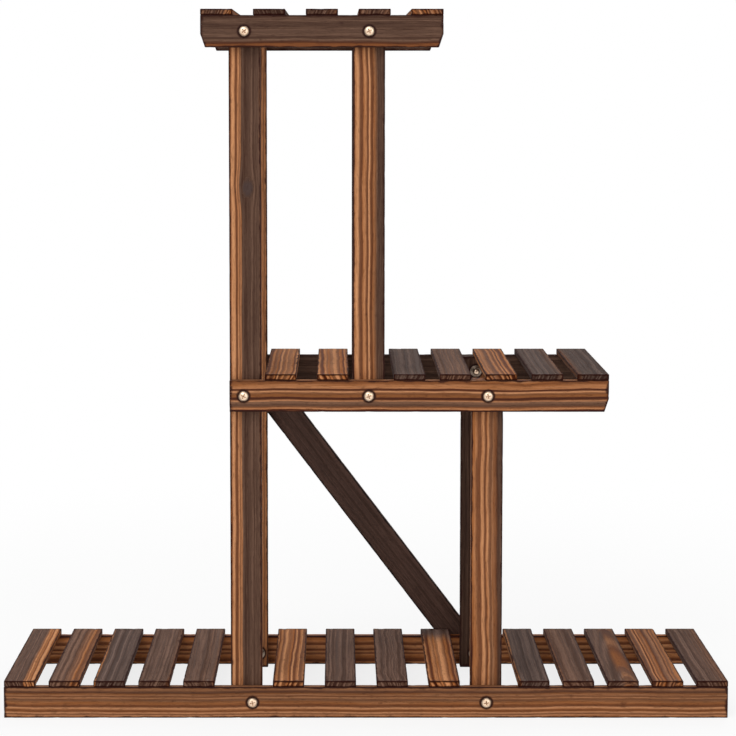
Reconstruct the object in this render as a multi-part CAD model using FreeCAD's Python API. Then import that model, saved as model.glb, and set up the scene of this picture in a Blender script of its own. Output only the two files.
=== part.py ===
"""Tiered plant stand: three slatted shelves on stepped legs, all of bolted softwood strips.

Millimetres, +Z up. The front faces -Y and +X is to the right as seen from the front.
The origin is on the floor, under the middle of the whole stand. Two upright frames, front
and rear, carry the slats between them. Each frame has three rails on the outside and
three legs behind the rails. A diagonal brace crosses the back of the rear frame.
"""
import FreeCAD, Part
import math
import os

from FreeCAD import Vector

# ------------------------------------------------------------------ driving sizes
# Timber. Every piece is cut from strips of one width.
STRIP_WIDTH = 36.0
SLAT_THICKNESS = 7.0
RAIL_THICKNESS = 10.0
LEG_THICKNESS = 15.0
BRACE_THICKNESS = 10.0
ARRIS = 0.6  # small chamfer that eases the long edges of every strip

# Depth, from the outside of the front rails to the outside of the rear rails.
DEPTH = 250.0

# Heights: how far each shelf's rails rise above the rails below.
MID_RISE = 354.0
TOP_RISE = 411.0

# Along the stand: leg to leg, like edge to like edge, then how far rails reach past legs.
LEFT_LEG_SPACING = 140.0
RIGHT_LEG_SPACING = 135.0
BASE_LEFT_REACH = 260.0
BASE_RIGHT_REACH = 259.0
MID_RIGHT_REACH = 119.0
TOP_LEFT_REACH = 31.0
TOP_RIGHT_REACH = 65.0

# Bevelled lower corners of the rails that overhang.
BEVEL_LENGTH = 5.0
BEVEL_HEIGHT = 15.0
BEVEL_ROUND = 2.0

# Slats: how many each row has, spread evenly, and how far its ends stay from the legs.
BASE_OUTER_SLATS = 5
BASE_INNER_SLATS = 4
MID_LEFT_SLATS = 2
MID_RIGHT_SLATS = 5
TOP_SLATS = 5
BASE_OUTER_LEG_GAP = 18.5
BASE_INNER_LEG_GAP = 12.3
MID_LEFT_LEG_GAP = 4.0
MID_CENTRE_LEG_GAP = 5.0
MID_RIGHT_ROW_GAP = 10.0

# Where hand-drilled holes miss the middle of their strip.
BASE_LEFT_HOLE_SHIFT = 7.0
MID_LEFT_HOLE_SHIFT = -2.0
BRACE_HOLE_SHIFT = 7.0
BRACE_FLOOR_CLEARANCE = 2.0

# Bolts: M6, pan head with a cross recess.
BOLT_DIAMETER = 6.0
BOLT_HEAD_DIAMETER = 12.0
BOLT_HEAD_HEIGHT = 3.5
BOLT_HEAD_RIM = 1.0
BOLT_TIP_CHAMFER = 0.8
BOLT_PAST_NUT = 4.0
BOLT_HOLE_CLEARANCE = 0.25  # all round the shank
RECESS_SPAN = 6.0
RECESS_WIDTH = 1.1
RECESS_DEPTH = 1.8

# Hexagon flange nuts.
NUT_ACROSS_FLATS = 10.0
NUT_HEIGHT = 6.0
NUT_FLANGE_DIAMETER = 14.2
NUT_FLANGE_RIM = 1.1
NUT_FLANGE_SLOPE = 20.0  # degrees
NUT_CROWN_SLOPE = 30.0  # degrees, where the corners of the top are turned off
NUT_THREAD_CLEARANCE = 0.1  # all round the shank

# Brads: two through each end of a slat, down into the rail.
BRAD_DIAMETER = 1.4
BRAD_HEAD_DIAMETER = 2.0
BRAD_HEAD_HEIGHT = 0.7
BRAD_POINT = 1.8
BRAD_EDGE_DISTANCE = 8.0
BRAD_HOLE_CLEARANCE = 0.05  # all round the shank and the head
BRAD_BOLT_CLEARANCE = 2.0  # from the point down to the bolt holes

# ------------------------------------------------------------------ worked out
UP = Vector(0, 0, 1)
BACK = Vector(0, 1, 0)
FULL_TURN = 360.0
HEXAGON_SIDES = 6
PARALLEL_COSINE = 0.99  # two directions this close count as one
HALF_WIDTH = STRIP_WIDTH / 2

BASE_TOP = STRIP_WIDTH
MID_TOP = BASE_TOP + MID_RISE
TOP_TOP = MID_TOP + TOP_RISE

# Left edges of the legs, and the ends of the rails.
LEG_SPREAD = LEFT_LEG_SPACING + RIGHT_LEG_SPACING
BASE_LENGTH = BASE_LEFT_REACH + LEG_SPREAD + STRIP_WIDTH + BASE_RIGHT_REACH
BASE_LEFT = -BASE_LENGTH / 2
BASE_RIGHT = BASE_LENGTH / 2
LEFT_LEG = BASE_LEFT + BASE_LEFT_REACH
CENTRE_LEG = LEFT_LEG + LEFT_LEG_SPACING
RIGHT_LEG = CENTRE_LEG + RIGHT_LEG_SPACING
MID_LEFT = LEFT_LEG
MID_RIGHT = RIGHT_LEG + STRIP_WIDTH + MID_RIGHT_REACH
TOP_LEFT = LEFT_LEG - TOP_LEFT_REACH
TOP_RIGHT = CENTRE_LEG + STRIP_WIDTH + TOP_RIGHT_REACH

# Outer faces of the rails. The brace adds its thickness at the back only.
FRONT_FACE = -(DEPTH + BRACE_THICKNESS) / 2
REAR_FACE = FRONT_FACE + DEPTH

BOLT_HOLE_RADIUS = BOLT_DIAMETER / 2 + BOLT_HOLE_CLEARANCE
BRAD_HOLE_RADIUS = BRAD_DIAMETER / 2 + BRAD_HOLE_CLEARANCE
BRAD_SEAT_RADIUS = BRAD_HEAD_DIAMETER / 2 + BRAD_HOLE_CLEARANCE
BRAD_SEAT_DEPTH = BRAD_HEAD_HEIGHT + BRAD_HOLE_CLEARANCE
BRAD_BITE = HALF_WIDTH - BOLT_HOLE_RADIUS - BRAD_BOLT_CLEARANCE
BRAD_LENGTH = SLAT_THICKNESS + BRAD_BITE

# How far cutting tools run past the faces that they cut.
OVERCUT = 1.0


class Frame:
    """One upright frame: its outer face, and the way from there into the stand."""

    def __init__(self, name, face, inward):
        self.name = name
        self.face = face
        self.inward = inward

    def low_y(self, depth, thickness):
        """The lower Y of a board whose outer face lies depth inside the frame's face."""
        near = self.face + self.inward * depth
        return min(near, near + self.inward * thickness)

    def point(self, x, z, depth=0.0):
        """A point at x and z that lies depth inside the frame's face."""
        return Vector(x, self.face + self.inward * depth, z)

    def way_in(self):
        """The direction from the outer face into the stand."""
        return BACK * self.inward


FRONT = Frame("front", FRONT_FACE, 1)
REAR = Frame("rear", REAR_FACE, -1)


# ------------------------------------------------------------------ shapes
def rounded_outline(corners, rounds):
    """A closed wire through the corners, each rounded to its own radius, 0 for sharp."""
    edges = []
    starts, ends, middles = [], [], []
    count = len(corners)
    for i in range(count):
        corner = corners[i]
        to_last = (corners[i - 1] - corner).normalize()
        to_next = (corners[(i + 1) % count] - corner).normalize()
        half_angle = to_last.getAngle(to_next) / 2
        cut = rounds[i] / math.tan(half_angle)
        bisector = (to_last + to_next).normalize()
        centre_distance = rounds[i] / math.sin(half_angle)
        starts.append(corner + to_last * cut)
        ends.append(corner + to_next * cut)
        middles.append(corner + bisector * (centre_distance - rounds[i]))
    for i in range(count):
        if rounds[i] > 0:
            edges.append(Part.Arc(starts[i], middles[i], ends[i]).toShape())
        edges.append(Part.LineSegment(ends[i], starts[(i + 1) % count]).toShape())
    return Part.Wire(edges)


def board(corners, way, rounds=None):
    """A flat board with this outline, pushed along way, with its two broad faces eased."""
    outline = rounded_outline(corners, rounds or [0.0] * len(corners))
    blank = Part.Face(outline).extrude(way)
    through = Vector(way).normalize()
    eased = [edge for edge in blank.Edges if not runs_along(edge, through)]
    return blank.makeChamfer(ARRIS, eased)


def runs_along(edge, direction):
    """True for an edge from one broad face of a board to the other."""
    if len(edge.Vertexes) < 2:
        return False
    return abs(edge.tangentAt(edge.FirstParameter).dot(direction)) > PARALLEL_COSINE


def upright(frame, left, right, low, high, depth, thickness, bevels=()):
    """A board that stands in a frame. bevels names its bevelled lower corners."""
    y = frame.low_y(depth, thickness)
    corners = []
    rounds = []
    for side, x, step in (("left", left, 1), ("right", right, -1)):
        cut = [Vector(x, y, low)]
        if side in bevels:
            cut = [Vector(x, y, low + BEVEL_HEIGHT), Vector(x + step * BEVEL_LENGTH, y, low)]
        if side == "right":
            cut.reverse()
        corners += cut
        rounds += [BEVEL_ROUND if side in bevels else 0.0] * len(cut)
    corners += [Vector(right, y, high), Vector(left, y, high)]
    rounds += [0.0, 0.0]
    return board(corners, BACK * thickness, rounds)


def drilled(body, holes):
    """The body less its holes, each given as a solid."""
    return body.cut(Part.makeCompound(holes)) if holes else body


def save(name, shape):
    """Writes one node. Every solid in it has to be sound."""
    for solid in shape.Solids:
        if not solid.isValid():
            raise ValueError(name + " has a faulty solid")
    shape.exportStep("parts/" + name + ".step")
    print(name, len(shape.Solids), "solid(s)", round(shape.Volume / 1000, 2), "cm3")


def save_group(name, solids):
    """Writes separate solids as one node."""
    save(name, Part.makeCompound(solids))


# ------------------------------------------------------------------ layout
def slat_row(count, left, right):
    """Left edges of two or more slats spread over a stretch of rail, from end to end."""
    pitch = (right - left - STRIP_WIDTH) / (count - 1)
    return [left + i * pitch for i in range(count)]


def base_slats():
    """Left edges of the base slats, in three rows between the rail ends and the legs."""
    left_row = slat_row(BASE_OUTER_SLATS, BASE_LEFT, LEFT_LEG - BASE_OUTER_LEG_GAP)
    inner_left = LEFT_LEG + STRIP_WIDTH + BASE_INNER_LEG_GAP
    inner_row = slat_row(BASE_INNER_SLATS, inner_left, RIGHT_LEG - BASE_INNER_LEG_GAP)
    right_left = RIGHT_LEG + STRIP_WIDTH + BASE_OUTER_LEG_GAP
    right_row = slat_row(BASE_OUTER_SLATS, right_left, BASE_RIGHT)
    return left_row + inner_row + right_row


def mid_slats():
    """Left edges of the middle slats, on both sides of the centre leg."""
    left_start = LEFT_LEG + STRIP_WIDTH + MID_LEFT_LEG_GAP
    left_row = slat_row(MID_LEFT_SLATS, left_start, CENTRE_LEG - MID_CENTRE_LEG_GAP)
    right_start = CENTRE_LEG + STRIP_WIDTH + MID_RIGHT_ROW_GAP
    right_row = slat_row(MID_RIGHT_SLATS, right_start, MID_RIGHT)
    return left_row + right_row


def top_slats():
    """Left edges of the top slats, one even row over the whole rail."""
    return slat_row(TOP_SLATS, TOP_LEFT, TOP_RIGHT)


SHELVES = {
    "base": (BASE_TOP, base_slats()),
    "mid": (MID_TOP, mid_slats()),
    "top": (TOP_TOP, top_slats()),
}

# Rails: left end, right end, top and bevelled corners.
RAILS = {
    "base": (BASE_LEFT, BASE_RIGHT, BASE_TOP, ()),
    "mid": (MID_LEFT, MID_RIGHT, MID_TOP, ("right",)),
    "top": (TOP_LEFT, TOP_RIGHT, TOP_TOP, ("left", "right")),
}

# Legs: left edge, foot and head.
LEGS = {
    "left": (LEFT_LEG, 0.0, TOP_TOP),
    "centre": (CENTRE_LEG, MID_TOP - STRIP_WIDTH, TOP_TOP),
    "right": (RIGHT_LEG, 0.0, MID_TOP),
}

# Bolts of one frame: the rail, the leg and how far the hole misses the leg's middle.
BOLTED = (
    ("base", "left", BASE_LEFT_HOLE_SHIFT),
    ("base", "right", 0.0),
    ("mid", "left", MID_LEFT_HOLE_SHIFT),
    ("mid", "centre", 0.0),
    ("mid", "right", 0.0),
    ("top", "left", 0.0),
    ("top", "centre", 0.0),
)

# The brace shares these two joints of the rear frame.
BRACE_JOINTS = (("mid", "left"), ("base", "right"))


def bolt_places():
    """X and Z of each bolt's axis, by its rail and its leg."""
    places = {}
    for shelf, leg, shift in BOLTED:
        places[shelf, leg] = LEGS[leg][0] + HALF_WIDTH + shift, RAILS[shelf][2] - HALF_WIDTH
    return places


def holds_brace(frame, joint):
    """True for the two bolts that go through the brace as well."""
    return frame is REAR and joint in BRACE_JOINTS


# ------------------------------------------------------------------ holes
def bolt_hole(frame, x, z):
    """A bore through rail, leg and brace at one bolt."""
    start = frame.point(x, z, -BRACE_THICKNESS - OVERCUT)
    length = BRACE_THICKNESS + RAIL_THICKNESS + LEG_THICKNESS + 2 * OVERCUT
    return Part.makeCylinder(BOLT_HOLE_RADIUS, length, start, frame.way_in())


def bolt_holes(frame, strip):
    """The bores that cross one rail or one leg of a frame, named as in the layout."""
    places = bolt_places()
    return [bolt_hole(frame, *places[joint]) for joint in places if strip in joint]


def brad_places(shelf, frame):
    """Tops of the brads that go through one shelf's slats into one frame's rail."""
    top, lefts = SHELVES[shelf]
    places = []
    for left in lefts:
        for x in (left + BRAD_EDGE_DISTANCE, left + STRIP_WIDTH - BRAD_EDGE_DISTANCE):
            places.append(frame.point(x, top + SLAT_THICKNESS, RAIL_THICKNESS / 2))
    return places


def brad_hole(place):
    """The hole that a brad fills, from the slat's top down into the rail."""
    depth = BRAD_LENGTH + BRAD_HOLE_CLEARANCE
    shank = Part.makeCylinder(BRAD_HOLE_RADIUS, depth + OVERCUT, place + UP * OVERCUT, -UP)
    seat = Part.makeCylinder(BRAD_SEAT_RADIUS, BRAD_SEAT_DEPTH + OVERCUT, place + UP * OVERCUT, -UP)
    return shank.fuse(seat)


# ------------------------------------------------------------------ timber
def make_rail(frame, shelf):
    """A rail on the outside of a frame, drilled for its bolts and brads."""
    left, right, top, bevels = RAILS[shelf]
    rail = upright(frame, left, right, top - STRIP_WIDTH, top, 0.0, RAIL_THICKNESS, bevels)
    holes = bolt_holes(frame, shelf)
    holes += [brad_hole(place) for place in brad_places(shelf, frame)]
    return drilled(rail, holes)


def make_leg(frame, name):
    """A leg against the inside of a frame's rails, drilled for its bolts."""
    left, foot, head = LEGS[name]
    leg = upright(frame, left, left + STRIP_WIDTH, foot, head, RAIL_THICKNESS, LEG_THICKNESS)
    return drilled(leg, bolt_holes(frame, name))


def make_slat(shelf, left):
    """A slat across both rails of a shelf, flush with their outer faces."""
    bottom = SHELVES[shelf][0]
    right = left + STRIP_WIDTH
    plan = ((left, FRONT_FACE), (right, FRONT_FACE), (right, REAR_FACE), (left, REAR_FACE))
    slat = board([Vector(x, y, bottom) for x, y in plan], UP * SLAT_THICKNESS)
    places = brad_places(shelf, FRONT) + brad_places(shelf, REAR)
    own = [place for place in places if left < place.x < right]
    return drilled(slat, [brad_hole(place) for place in own])


def make_brace():
    """The diagonal strip behind the rear rails, trimmed flush with the frame's edges."""
    upper, lower = [REAR.point(*bolt_places()[joint]) for joint in BRACE_JOINTS]
    reach = (lower - upper).Length
    # The centreline runs through the upper hole and misses the lower one by the shift.
    tilt = math.atan2(upper.z - lower.z, lower.x - upper.x) + math.asin(BRACE_HOLE_SHIFT / reach)
    along = Vector(math.cos(tilt), 0, -math.sin(tilt))
    across = Vector(math.sin(tilt), 0, math.cos(tilt)) * HALF_WIDTH
    start = upper - along * reach
    end = lower + along * reach
    corners = [start - across, end - across, end + across, start + across]
    low, high = BRACE_FLOOR_CLEARANCE, MID_TOP
    trimmed = clipped(corners, LEFT_LEG, RIGHT_LEG + STRIP_WIDTH, low, high)
    brace = board(trimmed, BACK * BRACE_THICKNESS)
    return drilled(brace, [bolt_hole(REAR, bolt.x, bolt.z) for bolt in (upper, lower)])


def clipped(corners, left, right, low, high):
    """The corners of an upright outline, kept within a window in X and Z."""
    for normal, limit in (
        (Vector(-1, 0, 0), -left),
        (Vector(1, 0, 0), right),
        (Vector(0, 0, -1), -low),
        (Vector(0, 0, 1), high),
    ):
        kept = []
        for i, corner in enumerate(corners):
            last = corners[i - 1]
            here, before = corner.dot(normal) - limit, last.dot(normal) - limit
            if here * before < 0:
                kept.append(last + (corner - last) * (before / (before - here)))
            if here <= 0:
                kept.append(corner)
        corners = kept
    return corners


# ------------------------------------------------------------------ hardware
def turned(profile):
    """A body of revolution about Z. Its outline is (radius, height) points, closed on the axis."""
    points = [Vector(radius, 0, height) for radius, height in profile]
    outline = Part.makePolygon(points + [points[0]])
    return Part.Face(outline).revolve(Vector(0, 0, 0), UP, FULL_TURN)


def placed(shape, point, direction):
    """A shape made about +Z from the origin, moved to a point and turned to a direction."""
    moved = shape.copy()
    moved.Placement = FreeCAD.Placement(point, FreeCAD.Rotation(UP, direction))
    return moved


def make_bolt(grip):
    """A pan head bolt along +Z. Z = 0 is under its head and grip is what it clamps."""
    length = grip + NUT_HEIGHT + BOLT_PAST_NUT
    radius = BOLT_DIAMETER / 2
    head_radius = BOLT_HEAD_DIAMETER / 2
    rim = Vector(head_radius, 0, -BOLT_HEAD_RIM)
    peak = Vector(0, 0, -BOLT_HEAD_HEIGHT)
    # The crown is a cap of a ball, so its middle follows from the ball's radius.
    rise = BOLT_HEAD_HEIGHT - BOLT_HEAD_RIM
    ball = (head_radius**2 + rise**2) / (2 * rise)
    dip = ball - math.sqrt(ball**2 - (head_radius / 2) ** 2)
    crown = Part.Arc(rim, Vector(head_radius / 2, 0, dip - BOLT_HEAD_HEIGHT), peak).toShape()
    path = [
        peak,
        Vector(0, 0, length),
        Vector(radius - BOLT_TIP_CHAMFER, 0, length),
        Vector(radius, 0, length - BOLT_TIP_CHAMFER),
        Vector(radius, 0, 0),
        Vector(head_radius, 0, 0),
        rim,
    ]
    edges = [Part.LineSegment(a, b).toShape() for a, b in zip(path, path[1:])]
    bolt = Part.Face(Part.Wire(edges + [crown])).revolve(Vector(0, 0, 0), UP, FULL_TURN)
    return bolt.cut(make_recess())


def make_recess():
    """The cross that is cut into a bolt's head."""
    depth = RECESS_DEPTH + OVERCUT
    low = -BOLT_HEAD_HEIGHT - OVERCUT
    bars = []
    for size_x, size_y in ((RECESS_SPAN, RECESS_WIDTH), (RECESS_WIDTH, RECESS_SPAN)):
        corner = Vector(-size_x / 2, -size_y / 2, low)
        bars.append(Part.makeBox(size_x, size_y, depth, corner))
    return bars[0].fuse(bars[1])


def make_nut():
    """A hexagon flange nut along +Z, with its flange at Z = 0."""
    flat_radius = NUT_ACROSS_FLATS / 2
    hexagon_radius = flat_radius / math.cos(math.pi / HEXAGON_SIDES)
    flange_radius = NUT_FLANGE_DIAMETER / 2
    slope_rise = (flange_radius - flat_radius) * math.tan(math.radians(NUT_FLANGE_SLOPE))
    corners = []
    for i in range(HEXAGON_SIDES + 1):
        turn = 2 * math.pi * i / HEXAGON_SIDES
        corners.append(Vector(hexagon_radius * math.cos(turn), hexagon_radius * math.sin(turn), 0))
    hexagon = Part.Face(Part.makePolygon(corners)).extrude(UP * NUT_HEIGHT)
    # The corners of the top are turned off until the cone meets the flats.
    crown_drop = (hexagon_radius - flat_radius) * math.tan(math.radians(NUT_CROWN_SLOPE))
    crown = turned(
        [
            (0, 0),
            (flange_radius, 0),
            (flange_radius, NUT_HEIGHT - crown_drop),
            (hexagon_radius, NUT_HEIGHT - crown_drop),
            (flat_radius, NUT_HEIGHT),
            (0, NUT_HEIGHT),
        ]
    )
    flange = turned(
        [
            (0, 0),
            (flange_radius, 0),
            (flange_radius, NUT_FLANGE_RIM),
            (flat_radius, NUT_FLANGE_RIM + slope_rise),
            (0, NUT_FLANGE_RIM + slope_rise),
        ]
    )
    bore_radius = BOLT_DIAMETER / 2 + NUT_THREAD_CLEARANCE
    bore = Part.makeCylinder(bore_radius, NUT_HEIGHT + 2 * OVERCUT, Vector(0, 0, -OVERCUT))
    return hexagon.common(crown).fuse(flange).cut(bore).removeSplitter()


def make_brad():
    """A brad along -Z, with the top of its head at Z = 0."""
    shank = BRAD_DIAMETER / 2
    head = BRAD_HEAD_DIAMETER / 2
    return turned(
        [
            (0, 0),
            (head, 0),
            (head, -BRAD_HEAD_HEIGHT),
            (shank, -BRAD_HEAD_HEIGHT),
            (shank, -BRAD_LENGTH + BRAD_POINT),
            (0, -BRAD_LENGTH),
        ]
    )


def bolts_and_nuts(frame):
    """The plain bolts, the bolts through the brace and the nuts of one frame."""
    plain, through_brace, nuts = [], [], []
    grip = RAIL_THICKNESS + LEG_THICKNESS
    bolt, long_bolt, nut = make_bolt(grip), make_bolt(grip + BRACE_THICKNESS), make_nut()
    for joint, (x, z) in bolt_places().items():
        if holds_brace(frame, joint):
            seat = frame.point(x, z, -BRACE_THICKNESS)
            through_brace.append(placed(long_bolt, seat, frame.way_in()))
        else:
            plain.append(placed(bolt, frame.point(x, z), frame.way_in()))
        nuts.append(placed(nut, frame.point(x, z, grip), frame.way_in()))
    return plain, through_brace, nuts


# ------------------------------------------------------------------ the stand
def make_timber():
    """Writes every rail, leg, slat and the brace."""
    for frame in (FRONT, REAR):
        for shelf in RAILS:
            save(shelf + "_rail_" + frame.name, make_rail(frame, shelf))
        for leg in LEGS:
            save(leg + "_leg_" + frame.name, make_leg(frame, leg))
    for shelf, (_, lefts) in SHELVES.items():
        for number, left in enumerate(lefts, 1):
            save(f"{shelf}_slat_{number:02d}", make_slat(shelf, left))
    save("rear_brace", make_brace())


def make_hardware():
    """Writes the bolts, nuts and brads, alike ones together."""
    for frame in (FRONT, REAR):
        plain, through_brace, nuts = bolts_and_nuts(frame)
        save_group(frame.name + "_bolts", plain)
        save_group(frame.name + "_nuts", nuts)
        if through_brace:
            save_group("brace_bolts", through_brace)
    brad = make_brad()
    for shelf in SHELVES:
        places = brad_places(shelf, FRONT) + brad_places(shelf, REAR)
        save_group(shelf + "_brads", [placed(brad, place, UP) for place in places])


os.makedirs("parts", exist_ok=True)
make_timber()
make_hardware()
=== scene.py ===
"""Dresses a tiered plant stand of burnt and brushed fir strips, held by pan head bolts.

Lengths are in metres and +Z is up. The front faces -Y, and the tall side is at -X. Every
strip is a solid with rings of its own: a few wandering lines say where the pith ran, and
from them come the colour bands, the brushed relief and the arcs on the sawn ends.
"""
from __future__ import annotations

import logging
import math
from collections.abc import Callable
from dataclasses import dataclass
from enum import Enum

import bpy
import numpy as np
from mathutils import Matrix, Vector
from numpy.typing import NDArray


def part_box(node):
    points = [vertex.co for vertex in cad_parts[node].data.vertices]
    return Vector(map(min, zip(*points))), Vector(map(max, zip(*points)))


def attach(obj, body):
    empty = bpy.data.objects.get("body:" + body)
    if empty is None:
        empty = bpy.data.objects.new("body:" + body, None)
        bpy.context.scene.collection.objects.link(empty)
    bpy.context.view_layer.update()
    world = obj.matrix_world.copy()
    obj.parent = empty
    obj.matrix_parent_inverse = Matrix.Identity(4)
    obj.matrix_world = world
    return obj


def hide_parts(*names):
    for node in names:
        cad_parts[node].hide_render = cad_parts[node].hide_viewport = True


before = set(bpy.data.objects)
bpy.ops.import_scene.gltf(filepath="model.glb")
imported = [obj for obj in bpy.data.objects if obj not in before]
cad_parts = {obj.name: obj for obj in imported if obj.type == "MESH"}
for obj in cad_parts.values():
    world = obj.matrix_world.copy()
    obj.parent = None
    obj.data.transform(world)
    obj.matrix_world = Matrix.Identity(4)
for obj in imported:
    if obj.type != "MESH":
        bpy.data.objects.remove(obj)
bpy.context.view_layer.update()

Array = NDArray[np.float64]
Faces = NDArray[np.int64]
Body = tuple[Array, Faces, Array]
Colour = tuple[float, float, float, float]
Material = bpy.types.Material
Node = bpy.types.Node
Socket = bpy.types.NodeSocket
Tree = bpy.types.NodeTree
Feed = Socket | float | tuple[float, ...]

MM = 0.001
LOG = logging.getLogger("plant_stand")
BODY = "root"

FRAMES = ("front", "rear")
SHELF_NAMES = ("base", "mid", "top")
LEG_NAMES = ("left", "centre", "right")

# Each node of bolts or nuts, with 1 where its bolts go in towards the rear and -1 towards the front.
BOLT_NODES = (("front_bolts", 1.0), ("rear_bolts", -1.0), ("brace_bolts", -1.0))
NUT_NODES = (("front_nuts", 1.0), ("rear_nuts", -1.0))


# ---------------------------------------------------------------------- colours and looks
def display(red: int, green: int, blue: int) -> Colour:
    """Turns a display colour into the linear colour that a shader takes.

    A dark part is divided by 12.92. Any other is raised by 0.055, divided by 1.055 and put
    to the power of 2.4.

    Args:
        red: Red from 0 to 255.
        green: Green from 0 to 255.
        blue: Blue from 0 to 255.

    Returns:
        Linear red, green and blue, and an alpha of 1.
    """
    parts = np.array([red, green, blue]) / 255
    r, g, b = np.where(parts <= 0.04045, parts / 12.92, ((parts + 0.055) / 1.055) ** 2.4)
    return float(r), float(g), float(b), 1.0


class Shade(Enum):
    """How far a band of wood is burnt and how red it is, from 0 to 1, and how light it is."""

    TAN = (0.0, 0.45, 1.16)
    ORANGE = (0.1, 0.5, 1.0)
    BROWN = (0.42, 0.5, 0.95)
    RED_BROWN = (0.62, 0.85, 1.0)
    PURPLE_BROWN = (0.9, 0.75, 1.06)
    GREY_BROWN = (0.95, 0.5, 1.0)
    CHARCOAL = (1.0, 0.1, 0.91)
    BLACKENED = (1.0, 0.6, 0.57)


TAN, ORANGE, BROWN, RED_BROWN, PURPLE_BROWN, GREY_BROWN, CHARCOAL, BLACKENED = Shade


@dataclass(frozen=True)
class Knot:
    """A knot that goes through a strip, and the rings that part round it.

    Attributes:
        along: Its place along the strip from the middle.
        across: Its place across the strip from the middle.
        radius: Its radius across the strip.
        shows: True where the knot itself is in the wood and not just beyond an edge.
    """

    along: float
    across: float
    radius: float
    shows: bool = True


@dataclass(frozen=True)
class Look:
    """How one strip was sawn from its log and how its bands of colour lie.

    Attributes:
        seed: Picks the strip's waves, so that no two strips are alike.
        bands: Places across the strip, from 0 to 1, each with its shade. Between two places
            one shade turns into the next.
        pith_across: The pith's distance from the middle, across the strip.
        pith_depth: The pith's distance from the middle, through the strip.
        lean: How much the pith sinks for each metre along the strip.
        ring: The width of a year's ring.
        wander: How far the grain weaves to either side.
        light: How light the strip is beside others of its shades. On base slat 10, mid slats 03,
        06 and 07 and top slat 02 it is set low partly as painted shade, against the light and
        sheen that fall on them; on the base's rear rail it is set high as painted light.
        brace_shadow: How far a painted shadow of the brace reaches in from the rear end.
        knots: The knots that part the grain.
    """

    seed: int
    bands: tuple[tuple[float, Shade], ...]
    pith_across: float = 55 * MM
    pith_depth: float = 26 * MM
    lean: float = 0.012
    ring: float = 3.2 * MM
    wander: float = 0.8 * MM
    light: float = 1.0
    brace_shadow: float = 0.0
    knots: tuple[Knot, ...] = ()


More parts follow.
